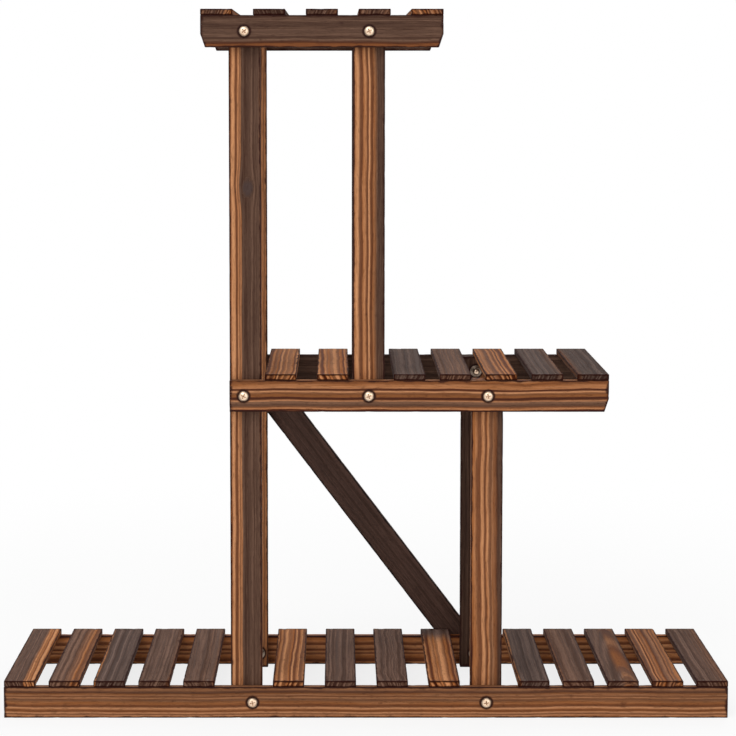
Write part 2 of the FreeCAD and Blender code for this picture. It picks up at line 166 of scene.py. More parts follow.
# Bands run from the left on slats and legs, and from the bottom on rails.
LOOKS: dict[str, Look] = {
    "base_slat_01": Look(
        11, ((0, GREY_BROWN), (0.58, GREY_BROWN), (0.64, TAN), (1, TAN)), pith_across=-60 * MM,
        ring=3.6 * MM,
    ),
    "base_slat_02": Look(
        12, ((0, GREY_BROWN), (0.45, PURPLE_BROWN), (0.62, RED_BROWN), (0.78, ORANGE), (1, RED_BROWN)),
        ring=4.4 * MM,
    ),
    "base_slat_03": Look(13, ((0, TAN), (0.04, ORANGE), (0.1, CHARCOAL), (1, CHARCOAL)), ring=3.6 * MM),
    "base_slat_04": Look(14, ((0, GREY_BROWN), (0.8, GREY_BROWN), (1, RED_BROWN)), ring=3.4 * MM),
    "base_slat_05": Look(
        15, ((0, GREY_BROWN), (0.5, GREY_BROWN), (0.62, PURPLE_BROWN), (0.8, GREY_BROWN), (1, RED_BROWN)),
        pith_across=-48 * MM, ring=4.0 * MM, light=1.04,
    ),
    "base_slat_06": Look(16, ((0, ORANGE), (0.5, TAN), (1, ORANGE)), ring=5.2 * MM, light=1.12),
    "base_slat_07": Look(17, ((0, GREY_BROWN),), ring=4.2 * MM, light=1.04),
    "base_slat_08": Look(
        18, ((0, GREY_BROWN),), ring=3.0 * MM, wander=2.4 * MM, pith_across=-60 * MM, light=1.06,
    ),
    # Base slat 09 has a painted shadow of the brace over its rear end.
    "base_slat_09": Look(
        19, ((0, ORANGE), (0.4, TAN), (0.75, ORANGE), (1, RED_BROWN)), pith_across=-50 * MM, ring=5.4 * MM,
        light=1.2, brace_shadow=70 * MM,
    ),
    "base_slat_10": Look(20, ((0, TAN), (0.05, ORANGE), (0.12, CHARCOAL), (1, CHARCOAL)), light=0.85),
    "base_slat_11": Look(
        21, ((0, RED_BROWN), (0.2, PURPLE_BROWN), (1, GREY_BROWN)), pith_across=-46 * MM, ring=4.6 * MM,
        light=0.98,
    ),
    "base_slat_12": Look(
        22, ((0, GREY_BROWN), (0.4, GREY_BROWN), (0.6, BROWN), (0.85, RED_BROWN), (1, GREY_BROWN)),
        pith_across=6 * MM, pith_depth=18 * MM, lean=0.05, ring=3.4 * MM, light=0.96,
    ),
    "base_slat_13": Look(
        23, ((0, RED_BROWN), (0.3, ORANGE), (0.55, RED_BROWN), (1, ORANGE)), ring=4.8 * MM,
    ),
    "base_slat_14": Look(
        24, ((0, GREY_BROWN), (0.5, GREY_BROWN), (1, RED_BROWN)), pith_across=-52 * MM, ring=4.0 * MM,
        light=0.88,
    ),
    "mid_slat_01": Look(31, ((0, RED_BROWN), (0.3, ORANGE), (1, ORANGE)), ring=4.8 * MM, light=1.02),
    "mid_slat_02": Look(
        32, ((0, TAN), (0.6, ORANGE), (1, TAN)), pith_across=-50 * MM, ring=5.4 * MM, light=1.16,
    ),
    # Mid slats 03, 06 and 07 are set darker as painted shade, against the stronger light and sheen on the
    # mid shelf.
    "mid_slat_03": Look(33, ((0, CHARCOAL),), ring=3.8 * MM, light=0.8),
    "mid_slat_04": Look(
        34, ((0, PURPLE_BROWN), (0.7, PURPLE_BROWN), (1, GREY_BROWN)), ring=3.6 * MM, light=0.9,
    ),
    "mid_slat_05": Look(
        35, ((0, ORANGE), (0.3, RED_BROWN), (0.6, ORANGE), (1, TAN)), pith_across=-44 * MM, ring=5.0 * MM,
    ),
    "mid_slat_06": Look(36, ((0, CHARCOAL), (0.7, CHARCOAL), (1, RED_BROWN)), ring=4.0 * MM, light=0.72),
    "mid_slat_07": Look(
        37, ((0, RED_BROWN), (0.1, RED_BROWN), (0.2, CHARCOAL), (1, CHARCOAL)), ring=4.0 * MM, light=0.62,
    ),
    "top_slat_01": Look(41, ((0, RED_BROWN), (0.4, GREY_BROWN), (1, ORANGE)), light=0.94),
    "top_slat_02": Look(42, ((0, GREY_BROWN),), pith_across=-52 * MM, light=0.58),
    "top_slat_03": Look(43, ((0, GREY_BROWN), (0.6, GREY_BROWN), (1, RED_BROWN)), ring=3.8 * MM, light=0.8),
    "top_slat_04": Look(44, ((0, RED_BROWN), (0.5, GREY_BROWN), (1, RED_BROWN)), ring=4.0 * MM),
    "top_slat_05": Look(45, ((0, ORANGE), (1, RED_BROWN)), pith_across=-48 * MM, ring=4.2 * MM, light=1.05),
    "base_rail_front": Look(
        51, ((0, ORANGE), (0.06, TAN), (0.46, TAN), (0.52, BROWN), (0.6, BROWN), (0.7, ORANGE),
            (0.76, BROWN), (1, BROWN)),
        pith_across=70 * MM, lean=0.001, ring=5.2 * MM, wander=0.7 * MM, light=0.86,
    ),
    # Painted light: the base's rear rail is set lighter, for its inner face in the shade between the slats.
    "base_rail_rear": Look(
        52, ((0, ORANGE), (0.3, TAN), (0.6, ORANGE), (0.85, TAN), (1, ORANGE)), lean=0.001, ring=6.6 * MM,
        light=1.25,
    ),
    "mid_rail_front": Look(
        53, ((0, RED_BROWN), (0.07, TAN), (0.13, TAN), (0.19, RED_BROWN), (0.31, RED_BROWN), (0.36, TAN),
            (0.41, BROWN), (0.56, BROWN), (0.64, TAN), (1, TAN)),
        pith_across=-62 * MM, lean=0.002, ring=5.8 * MM, light=0.92,
        knots=(Knot(120 * MM, 24 * MM, 7 * MM, shows=False),),
    ),
    # The mid shelf's rear rail is blackened: its own burn, with painted shade for its inner face between
    # the slats.
    "mid_rail_rear": Look(54, ((0, BLACKENED),), lean=0.004, ring=4.6 * MM),
    "top_rail_front": Look(
        55, ((0, RED_BROWN), (0.16, RED_BROWN), (0.26, GREY_BROWN), (1, GREY_BROWN)), pith_across=58 * MM,
        lean=0.004, ring=6.4 * MM,
    ),
    "top_rail_rear": Look(56, ((0, GREY_BROWN),), lean=0.006, ring=4.6 * MM),
    "left_leg_front": Look(
        61, ((0, TAN), (0.35, TAN), (0.41, GREY_BROWN), (0.92, GREY_BROWN), (1, BROWN)),
        pith_across=64 * MM, lean=0.002, ring=4.4 * MM, wander=0.5 * MM,
        knots=(Knot(207 * MM, 3.2 * MM, 6.6 * MM),),
    ),
    "left_leg_rear": Look(
        62, ((0, ORANGE), (0.3, BROWN), (0.55, GREY_BROWN), (0.75, RED_BROWN), (0.86, ORANGE),
            (1, ORANGE)),
        lean=0.003, ring=5.0 * MM,
    ),
    "centre_leg_front": Look(
        63, ((0, ORANGE), (0.12, TAN), (0.5, TAN), (0.58, ORANGE), (0.68, BROWN), (0.8, GREY_BROWN),
            (1, GREY_BROWN)),
        pith_across=-50 * MM, lean=0.004, ring=6.0 * MM,
    ),
    "centre_leg_rear": Look(
        64, ((0, GREY_BROWN), (0.3, RED_BROWN), (0.6, BROWN), (0.8, BLACKENED), (1, BLACKENED)),
        lean=0.004, ring=4.8 * MM,
    ),
    "right_leg_front": Look(
        65, ((0, ORANGE), (0.1, TAN), (0.54, TAN), (0.6, ORANGE), (0.68, BROWN), (0.8, RED_BROWN),
            (0.9, GREY_BROWN), (1, GREY_BROWN)),
        pith_across=-46 * MM, lean=0.005, ring=6.4 * MM, wander=1.4 * MM,
    ),
    "right_leg_rear": Look(
        66, ((0, BLACKENED), (0.3, BLACKENED), (0.5, GREY_BROWN), (0.75, ORANGE), (1, RED_BROWN)),
        lean=0.004, ring=5.0 * MM,
    ),
    "rear_brace": Look(71, ((0, BLACKENED),), lean=0.006, ring=4.0 * MM),
}


# ---------------------------------------------------------------------- shader wiring
class Wiring:
    """Adds nodes to a shader tree and joins them, one short call for each step."""

    def __init__(self, tree: Tree) -> None:
        """Takes the tree to work on."""
        self.tree = tree

    def node(self, kind: str, **settings: object) -> Node:
        """Adds a node.

        Args:
            kind: The node's type.
            **settings: Properties to set on it.

        Returns:
            The node.
        """
        made = self.tree.nodes.new(kind)
        for name, value in settings.items():
            setattr(made, name, value)
        return made

    def feed(self, socket: Socket, value: Feed) -> None:
        """Links a socket into an input, or sets the input to a plain value."""
        if isinstance(value, Socket):
            self.tree.links.new(value, socket)
        else:
            socket.default_value = value

    def fed(self, kind: str, values: dict[str, Feed], **settings: object) -> Node:
        """Adds a node and feeds its inputs.

        Args:
            kind: The node's type.
            values: What goes into each input, by its name.
            **settings: Properties to set on it.

        Returns:
            The node.
        """
        made = self.node(kind, **settings)
        for name, value in values.items():
            self.feed(made.inputs[name], value)
        return made

    def math(self, operation: str, *values: Feed, clamp: bool = False) -> Socket:
        """Works out one sum.

        Args:
            operation: The operation's name.
            *values: Its one, two or three numbers.
            clamp: True to keep the result from 0 to 1.

        Returns:
            The result.
        """
        made = self.node("ShaderNodeMath", operation=operation, use_clamp=clamp)
        for socket, value in zip(made.inputs, values):
            self.feed(socket, value)
        return made.outputs[0]

    def step(self, value: Feed, low: float, high: float) -> Socket:
        """Rises smoothly from 0 at low to 1 at high, or falls where low is the larger."""
        values = {"Value": value, "From Min": low, "From Max": high}
        return self.fed("ShaderNodeMapRange", values, interpolation_type="SMOOTHSTEP").outputs["Result"]

    def around(self, value: Feed, gain: float) -> Socket:
        """A noise about 0.5, drawn out by a gain and moved to lie about 0."""
        return self.math("MULTIPLY_ADD", value, gain, -gain / 2)

    def mix(self, factor: Feed, first: Feed, second: Feed, blend: str = "MIX") -> Socket:
        """Mixes two colours.

        Args:
            factor: How much of the second, from 0 to 1.
            first: The colour at 0.
            second: The colour at 1.
            blend: The way of mixing.

        Returns:
            The mixed colour.
        """
        made = self.node("ShaderNodeMix", data_type="RGBA", blend_type=blend)
        colours = [socket for socket in made.inputs if socket.type == "RGBA"]
        for socket, value in zip((made.inputs[0], *colours), (factor, first, second)):
            self.feed(socket, value)
        return next(socket for socket in made.outputs if socket.type == "RGBA")

    def parts(self, vector: Feed) -> tuple[Socket, Socket, Socket]:
        """The three numbers of a vector."""
        return tuple(self.fed("ShaderNodeSeparateXYZ", {"Vector": vector}).outputs)

    def noise(self, vector: Feed, scale: Feed, detail: float, roughness: float = 0.55) -> Socket:
        """Smooth noise about 0.5 over a vector.

        Args:
            vector: Where to read it.
            scale: Its fineness.
            detail: How many finer layers it has.
            roughness: How strong the finer layers are.

        Returns:
            The noise, from 0 to 1.
        """
        values = {"Vector": vector, "Scale": scale, "Detail": detail, "Roughness": roughness}
        return self.fed("ShaderNodeTexNoise", values, noise_dimensions="3D").outputs["Fac"]

    def drawn_noise(self, grain: Feed, along: float, aside: float, *layers: float) -> Socket:
        """Smooth noise about 0.5 that is drawn out along the grain.

        Args:
            grain: Where to read it, along, across and through the strip.
            along: Its fineness along the grain.
            aside: Its fineness across and through the grain.
            *layers: How many finer layers it has, and how strong they are.

        Returns:
            The noise, from 0 to 1.
        """
        drawn = self.node("ShaderNodeVectorMath", operation="MULTIPLY")
        self.feed(drawn.inputs[0], grain)
        self.feed(drawn.inputs[1], (along, aside, aside))
        return self.noise(drawn.outputs[0], 1.0, *layers)


class Group(Wiring):
    """A shader node group with named inputs and outputs, built once."""

    def __init__(self, name: str, inputs: dict[str, str], outputs: dict[str, str]) -> None:
        """Makes the empty group.

        Args:
            name: The group's name.
            inputs: Input names, parted by commas, by socket type.
            outputs: Output names, parted by commas, by socket type.
        """
        super().__init__(bpy.data.node_groups.new(name, "ShaderNodeTree"))
        for way, sockets in (("INPUT", inputs), ("OUTPUT", outputs)):
            for kind, labels in sockets.items():
                for label in labels.split(", "):
                    self.tree.interface.new_socket(label, in_out=way, socket_type="NodeSocket" + kind)
        self.start = self.node("NodeGroupInput")
        self.end = self.node("NodeGroupOutput")

    def take(self, label: str) -> Socket:
        """The socket that brings one input in."""
        return self.start.outputs[label]

    def give(self, label: str, value: Feed) -> None:
        """Sends a value out."""
        self.feed(self.end.inputs[label], value)


# How far from a head or nut the wood carries painted contact shadow: fully, and just no more.
SEAT_SHADOW_CORE = 1.2 * MM
SEAT_SHADOW_REACH = 3.2 * MM


def build_grain_group() -> Tree:
    """Builds the burnt and brushed grain that all the timber shares.

    Rings counts the year's rings out from the pith. Its fraction darkens slowly towards the
    late wood and ends in a sharp line, and every ring has a strength of its own. Fibres are
    noise drawn out along the strip. Tone holds how burnt, how red and how light the wood is.
    Wear holds the masks of worn edges, sawn ends and knots. The worn edges' mask also darkens
    the arrises, as char with painted edge shade, and Near Bolt gives the painted contact
    shadow round heads and nuts.

    Returns:
        The group's tree.
    """
    w = Group(
        "burnt_grain",
        {
            "Float": "Rings, Near Bolt, Line Strength, Edge Char",
            "Vector": "Grain, Tone, Wear",
            "Color": "Light, Middle, Line, Burnt Light, Burnt Dark, Cool, Red, Knot, Char",
        },
        {"Color": "Color", "Float": "Roughness, Height"},
    )
    grain = w.take("Grain")
    fibre = w.drawn_noise(grain, 16.0, 800.0, 5.0, 0.72)
    streak = w.drawn_noise(grain, 3.0, 170.0, 3.0, 0.5)
    mottle = w.drawn_noise(grain, 9.0, 40.0, 2.0)
    pores = w.drawn_noise(grain, 120.0, 2600.0, 1.0)
    nibble = w.drawn_noise(grain, 70.0, 110.0, 3.0)

    # The late wood's line in each ring, and slow changes from ring to ring.
    rings = w.math("ADD", w.take("Rings"), w.around(streak, 0.36))
    place = w.math("FRACT", rings)
    own = w.node("ShaderNodeTexWhiteNoise", noise_dimensions="1D")
    w.feed(own.inputs["W"], w.math("FLOOR", rings))
    strength = w.math("MULTIPLY_ADD", own.outputs["Value"], 0.65, 0.45)
    late = w.math("MULTIPLY", w.step(place, 0.2, 0.62), w.step(place, 1.0, 0.86))
    line = w.math("MULTIPLY", late, strength)
    lined = w.math("MULTIPLY", line, w.take("Line Strength"), clamp=True)
    broad_values = {"W": rings, "Scale": 0.8, "Detail": 1.5}
    broad = w.fed("ShaderNodeTexNoise", broad_values, noise_dimensions="1D").outputs["Fac"]
    burn, redness, lightness = w.parts(w.take("Tone"))
    worn, cut, knotted = w.parts(w.take("Wear"))

    # Fresh wood, burnt wood, and what the tone makes of the two.
    sway = w.math("ADD", w.around(broad, 3.0), w.around(fibre, 2.4))
    fresh = w.mix(w.math("ADD", sway, 0.5, clamp=True), w.take("Middle"), w.take("Light"))
    fresh = w.mix(lined, fresh, w.take("Line"))
    ash = w.math("ADD", w.math("ADD", w.around(broad, 2.6), w.around(fibre, 3.4)), 0.5, clamp=True)
    burnt = w.mix(ash, w.take("Burnt Dark"), w.take("Burnt Light"))
    burnt = w.mix(w.math("MULTIPLY", lined, 0.7), burnt, w.take("Burnt Dark"))
    scorch = w.math("ADD", w.math("ADD", w.around(broad, 0.5), w.around(fibre, 0.35)), burn)
    colour = w.mix(w.step(scorch, 0.12, 0.88), fresh, burnt)
    colour = w.mix(1.0, colour, w.mix(redness, w.take("Cool"), w.take("Red")), "MULTIPLY")
    glow = w.math("ADD", lightness, w.around(mottle, 0.4))
    lit = w.fed("ShaderNodeCombineColor", {"Red": glow, "Green": glow, "Blue": glow})
    colour = w.mix(1.0, colour, lit.outputs[0], "MULTIPLY")
    colour = w.mix(w.math("MULTIPLY", knotted, 0.9), colour, w.take("Knot"))

    # Sawn ends, charred arrises with painted edge shade, pores, and the painted contact
    # shadow round each head and nut.
    sawn = w.mix(0.4, colour, w.take("Red"), "MULTIPLY")
    sawn = w.mix(w.math("MULTIPLY", lined, 0.75, clamp=True), sawn, w.take("Char"))
    colour = w.mix(cut, colour, sawn)
    # The dark arrises are char together with painted edge shade, the dark outline where faces turn into
    # shade.
    ragged = w.math("ADD", w.math("ADD", w.around(fibre, 0.9), w.around(nibble, 1.7)), worn)
    edge = w.math("MULTIPLY", w.step(ragged, 0.2, 0.72), w.take("Edge Char"), clamp=True)
    pits = w.math("MULTIPLY", w.step(pores, 0.4, 0.3), 0.5)
    # Painted contact shadow darkens the wood round each head and nut.
    seat_shadow = w.math("MULTIPLY", w.step(w.take("Near Bolt"), SEAT_SHADOW_REACH, SEAT_SHADOW_CORE), 0.92)
    dark = w.math("MAXIMUM", w.math("MAXIMUM", edge, pits), seat_shadow)
    w.give("Color", w.mix(dark, colour, w.take("Char")))

    rough = w.math("MULTIPLY_ADD", fibre, 0.3, 0.6)
    w.give("Roughness", w.math("SUBTRACT", rough, w.math("MULTIPLY", line, 0.12), clamp=True))
    height = w.math("MULTIPLY_ADD", line, 0.5, w.math("MULTIPLY", fibre, 0.6))
    w.give("Height", w.math("SUBTRACT", height, w.math("MULTIPLY", pits, 1.2)))
    return w.tree


def build_plating_group() -> Tree:
    """Builds the plated steel's faint marks: fine specks, a thin uneven film and soot; round
    the bolt heads the soot also carries painted shade.

    Returns:
        The group's tree.
    """
    w = Group(
        "plated_steel",
        {"Vector": "Place", "Color": "Bright, Film, Soot", "Float": "Dirt, Fineness, Base Roughness"},
        {"Color": "Color", "Float": "Roughness, Height"},
    )
    cloud = w.noise(w.take("Place"), 260.0, 3.0)
    speck = w.noise(w.take("Place"), w.take("Fineness"), 2.0)
    film = w.step(cloud, 0.45, 0.75)
    plated = w.mix(w.math("MULTIPLY", film, 0.7), w.take("Bright"), w.take("Film"))
    soot = w.math("MULTIPLY", w.take("Dirt"), w.math("MULTIPLY_ADD", cloud, 0.8, 0.6), clamp=True)
    w.give("Color", w.mix(soot, plated, w.take("Soot")))
    rough = w.math("MULTIPLY_ADD", speck, 0.2, w.take("Base Roughness"))
    rough = w.math("MULTIPLY_ADD", soot, 0.3, rough)
    w.give("Roughness", w.math("MULTIPLY_ADD", film, 0.12, rough))
    w.give("Height", speck)
    return w.tree


# ---------------------------------------------------------------------- finishes
@dataclass(frozen=True)
class Finish:
    """A material round a node group.

    Attributes:
        slot: The material slot that it fills.
    """

    slot: str

    def wired(self, tree: Tree, bump: float, depth: float, plain: dict[str, float]) -> Material:
        """Makes the material.

        Each input of the group takes this finish's field of the same name. Place takes the
        object's coordinates, and any other input takes the piece's attribute of that name.

        Args:
            tree: The group's tree.
            bump: How strong its bump is.
            depth: How deep its bump is.
            plain: Values for the shader's own sockets, the same all over.

        Returns:
            The material.
        """
        material = bpy.data.materials.new(self.slot)
        material.use_nodes = True
        w = Wiring(material.node_tree)
        group = w.node("ShaderNodeGroup", node_tree=tree)
        for socket in group.inputs:
            name = socket.name.lower().replace(" ", "_")
            if hasattr(self, name):
                socket.default_value = getattr(self, name)
            elif name == "place":
                w.feed(socket, w.node("ShaderNodeTexCoord").outputs["Object"])
            else:
                source = w.node("ShaderNodeAttribute", attribute_name=name)
                w.feed(socket, source.outputs["Vector" if socket.type == "VECTOR" else "Fac"])
        relief = w.fed(
            "ShaderNodeBump", {"Strength": bump, "Distance": depth, "Height": group.outputs["Height"]}
        )
        shader = w.tree.nodes["Principled BSDF"]
        looks = {
            "Base Color": group.outputs["Color"],
            "Roughness": group.outputs["Roughness"],
            "Normal": relief.outputs["Normal"],
        }
        for name, value in (looks | plain).items():
            w.feed(shader.inputs[name], value)
        return material


@dataclass(frozen=True)
class TimberFinish(Finish):
    """Burnt, brushed and oiled fir.

    Attributes:
        light: The lightest early wood.
        middle: The usual early wood.
        line: The late wood's lines.
        burnt_light: Scorched wood where the brush took most off.
        burnt_dark: Scorched wood where it took least off.
        cool: The tint of the least red wood.
        red: The tint of the reddest wood.
        knot: The knots.
        char: Charred arrises with their painted edge shade, pores, and the painted contact
        shadow round heads and nuts.
        line_strength: How strongly the late wood shows.
        edge_char: How black the arrises are, as char with painted edge shade.
        gloss: How much the oil shines.
        relief: How deep the fibres stand out in the bump.
    """

    light: Colour = display(185, 129, 88)
    middle: Colour = display(142, 86, 46)
    line: Colour = display(66, 22, 2)
    burnt_light: Colour = display(110, 82, 66)
    burnt_dark: Colour = display(64, 40, 28)
    cool: Colour = (0.94, 1.08, 1.24, 1.0)
    red: Colour = (1.06, 0.92, 0.76, 1.0)
    knot: Colour = display(70, 54, 50)
    char: Colour = display(38, 8, 3)
    line_strength: float = 0.88
    edge_char: float = 0.94
    gloss: float = 0.16
    relief: float = 0.25 * MM

    def build(self, grain: Tree) -> Material:
        """Makes the material round the shared grain group."""
        return self.wired(grain, 0.8, self.relief, {"Specular IOR Level": self.gloss})


@dataclass(frozen=True)
class SteelFinish(Finish):
    """Zinc-plated steel.

    Attributes:
        bright: The plating where it is clean.
        film: The plating under its thin film.
        base_roughness: How dull it is where it is clean.
        soot: The dark that gathers round heads and in recesses; round the bolt heads it is
        soot with painted shade.
        fineness: How fine its specks are.
        relief: How deep its specks are in the bump.
    """

    bright: Colour
    film: Colour
    base_roughness: float
    soot: Colour = display(58, 40, 30)
    fineness: float = 2400.0
    relief: float = 0.02 * MM

    def build(self, plating: Tree) -> Material:
        """Makes the material round the shared plating group."""
        return self.wired(plating, 0.3, self.relief, {"Metallic": 1.0})


# ---------------------------------------------------------------------- surfaces
@dataclass(frozen=True)
class Waves:
    """A smooth wandering line of height about -1 to 1.

    Attributes:
        seed: Picks the waves' phases.
        longest: The longest wave's length.
        layers: How many waves are added.
        finer: How many times finer each is than the last.
        lower: How high each is beside the last.
        peak: About how high their sum gets, which it is divided by.
    """

    seed: int
    longest: float
    layers: int = 4
    finer: float = 1.9
    lower: float = 0.6
    peak: float = 1.7

    def at(self, x: Array) -> Array:
        """The line's height at each place: the sum of the sine waves over its peak."""
        phases = np.random.default_rng(self.seed).uniform(0, 2 * math.pi, self.layers)
        total = np.zeros_like(x)
        for layer, phase in enumerate(phases):
            turns = self.finer**layer * x / self.longest
            total += self.lower**layer * np.sin(2 * math.pi * turns + phase)
        return total / self.peak


def stations(length: float, pitch: float, radius: float) -> Array:
    """Places along one side of a block: even in the middle, close together in the arrises.

    Args:
        length: The side's length.
        pitch: About how far apart the even places are.
        radius: The arris's radius.

    Returns:
        The places, from minus to plus half the length.
    """
    half = length / 2
    corner = radius * np.array([0.0, 0.35, 0.7])
    count = max(2, round((length - 2 * radius) / pitch) + 1)
    middle = np.linspace(-half + radius, half - radius, count)
    return np.concatenate([corner - half, middle, half - corner[::-1]])


def shell(counts: tuple[int, int, int]) -> tuple[NDArray[np.int64], Faces]:
    """The skin of a block of cells, with each point shared by the faces that meet there.

    Args:
        counts: How many lattice points the block has along each axis.

    Returns:
        The lattice places of the skin's points, and its faces, which look outwards.
    """
    grid = np.indices(counts)
    top = np.array(counts).reshape(3, 1, 1, 1) - 1
    skin = ((grid == 0) | (grid == top)).any(axis=0)
    number = np.full(counts, -1, np.int64)
    number[skin] = np.arange(skin.sum())
    faces = []
    for axis in range(3):
        for last in (False, True):
            side = np.take(number, -1 if last else 0, axis=axis)
            a, b, c, d = side[:-1, :-1], side[1:, :-1], side[1:, 1:], side[:-1, 1:]
            # The middle axis is the one whose two others turn the other way.
            outward = last != (axis == 1)
            order = (a, b, c, d) if outward else (a, d, c, b)
            faces.append(np.stack(order, -1).reshape(-1, 4))
    return np.stack([axis_places[skin] for axis_places in grid], 1), np.concatenate(faces)


def make_piece(name: str, points: Array, faces: Faces, smooth: bool = True) -> bpy.types.Object:
    """Puts points and faces into a new object at the origin.

    Args:
        name: The object's name.
        points: The points, one in each row.
        faces: The faces, as point numbers, four in each row.
        smooth: True to shade it smoothly.

    Returns:
        The object.
    """
    mesh = bpy.data.meshes.new(name)
    mesh.from_pydata(points, [], faces)
    mesh.polygons.foreach_set("use_smooth", np.full(len(faces), smooth))
    mesh.validate()
    mesh.update()
    piece = bpy.data.objects.new(name, mesh)
    bpy.context.scene.collection.objects.link(piece)
    return piece


def stand_in(
    node: str, ending: str, points: Array, faces: Faces, marks: dict[str, Array],
    material: Material,
) -> None:
    """Makes a piece, marks and dresses it, and lets it stand for a node of the frame.

    Args:
        node: The node that it replaces.
        ending: What its name has after the node's.
        points: Its points.
        faces: Its faces.
        marks: One number or one row of three for each point, by the attribute's name.
        material: Its material.
    """
    piece = make_piece(f"{node}_{ending}", points, faces)
    for name, values in marks.items():
        kind, key = ("FLOAT_VECTOR", "vector") if values.ndim == 2 else ("FLOAT", "value")
        layer = piece.data.attributes.new(name, kind, "POINT")
        layer.data.foreach_set(key, np.ascontiguousarray(values, np.float32).ravel())
    piece.data.materials.append(material)
    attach(piece, BODY)
    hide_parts(node)
    LOG.info("%s: %d points, %d faces", piece.name, len(points), len(faces))


def islands(node: str, gap: float = 30 * MM) -> list[tuple[Array, Array]]:
    """The boxes of a node's separate solids, told apart by their places in X and Z.

    Args:
        node: The node.
        gap: How far apart two solids' points are at least.

    Returns:
        The low and high corner of each solid.
    """
    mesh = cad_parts[node].data
    flat = np.zeros(len(mesh.vertices) * 3, np.float32)
    mesh.vertices.foreach_get("co", flat)
    groups = [flat.reshape(-1, 3).astype(float)]
    for axis in (0, 2):
        parted = []
        for points in groups:
            ordered = points[np.argsort(points[:, axis])]
            breaks = np.flatnonzero(np.diff(ordered[:, axis]) > gap) + 1
            parted += np.split(ordered, breaks)
        groups = parted
    return [(points.min(0), points.max(0)) for points in groups]


def seats(node: str, inward: float, rise: float = 0.0) -> list[tuple[Array, float]]:
    """Where each bolt or nut of a node presses on the wood.

    Args:
        node: The node.
        inward: 1 where its bodies reach towards the rear, and -1 towards the front.
        rise: How far a body stands out before its seat.

    Returns:
        The middle of each seat, and how far the body reaches past it.
    """
    found = []
    for low, high in islands(node):
        outer = low[1] if inward > 0 else high[1]
        seat = np.array([(low[0] + high[0]) / 2, outer + inward * rise, (low[2] + high[2]) / 2])
        found.append((seat, float(high[1] - low[1]) - rise))
    return found


def seat_distance(points: Array, far: float = 1.0) -> Array:
    """How far each point is outside the nearest head or nut.

    Args:
        points: The points.
        far: The most that is told.

    Returns:
        The distance from the nearest seat's middle less the radius of what presses on it.
    """
    nearest = np.full(len(points), far)
    for nodes, rise, radius in ((BOLT_NODES, Bolts.rise, Bolts.head), (NUT_NODES, 0.0, Nuts.flange)):
        for node, inward in nodes:
            for seat, _ in seats(node, inward, rise):
                nearest = np.minimum(nearest, np.linalg.norm(points - seat, axis=1) - radius)
    return nearest


# ---------------------------------------------------------------------- timber
X = np.array([1.0, 0.0, 0.0])
Y = np.array([0.0, 1.0, 0.0])
Z = np.array([0.0, 0.0, 1.0])

# The longest waves of the grain's wander, of its ripple, of the pith's depth and of wear.
WANDER_WAVE = 0.33
RIPPLE_WAVE = 0.075
SINK_WAVE = 0.4
WEAR_WAVE = 0.05

# A knot: how much longer it is than wide, how much longer and wider the pull round it is, how
# strong that pull is, and the width of its own rings, whose count starts past the wood's.
KNOT_STRETCH = 1.5
PULL_STRETCH = 1.9
PULL_WIDTH = 1.6
PULL_STRENGTH = 0.6
KNOT_RING = 1.1 * MM
KNOT_COUNT = 40

# Where in a ring the late wood lies, and how broad it is, as shares of the ring.
LATE_WOOD = 0.78
LATE_BREADTH = 0.16

Inset = Callable[[Array], Array]


def square_end(across: Array) -> Array:
    """A square end: no point across it is cut back."""
    return np.zeros_like(across)


